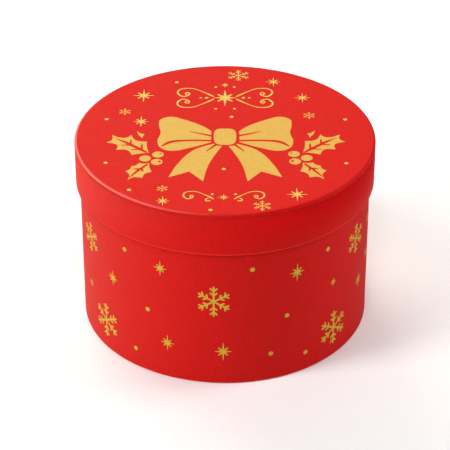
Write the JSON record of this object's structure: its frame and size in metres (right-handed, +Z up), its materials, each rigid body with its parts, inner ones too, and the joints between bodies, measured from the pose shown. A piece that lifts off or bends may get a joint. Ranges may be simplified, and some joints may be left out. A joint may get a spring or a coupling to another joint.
{
  "type": "round gift box",
  "caption": "Round rigid gift box with a lift-off telescoping lid, matte red printed paper over greyboard, for storing or giving small things.",
  "frame": {"origin": "centre of the underside, on the surface that the box stands on", "axes": "+Z up along the box's round axis and the way the lid lifts, -Y towards the front of the pictured print, +X to its right"},
  "size_m": [0.2, 0.2, 0.1326],
  "materials": {
    "printed_paper": "matte",
    "greyboard": "matte",
    "lining_paper": "matte",
    "base_paper": "matte",
    "gold_print": "satin"
  },
  "bodies": {
    "box": {"base_cover": "base_paper", "body_wrap": "printed_paper", "body_tube": "greyboard", "base_board": "greyboard", "wall_lining": "lining_paper", "floor_lining": "lining_paper"},
    "lid": {"lid_board": "greyboard", "lid_band": "greyboard", "lid_top_cover": "printed_paper", "lid_skirt_wrap": "printed_paper", "lid_skirt_lining": "lining_paper", "lid_ceiling_lining": "lining_paper"}
  },
  "joints": [
    {"name": "lid_lift", "type": "slide", "parent": "box", "child": "lid", "axis": [0, 0, 1], "range_m": [0, 0.08]}
  ]
}
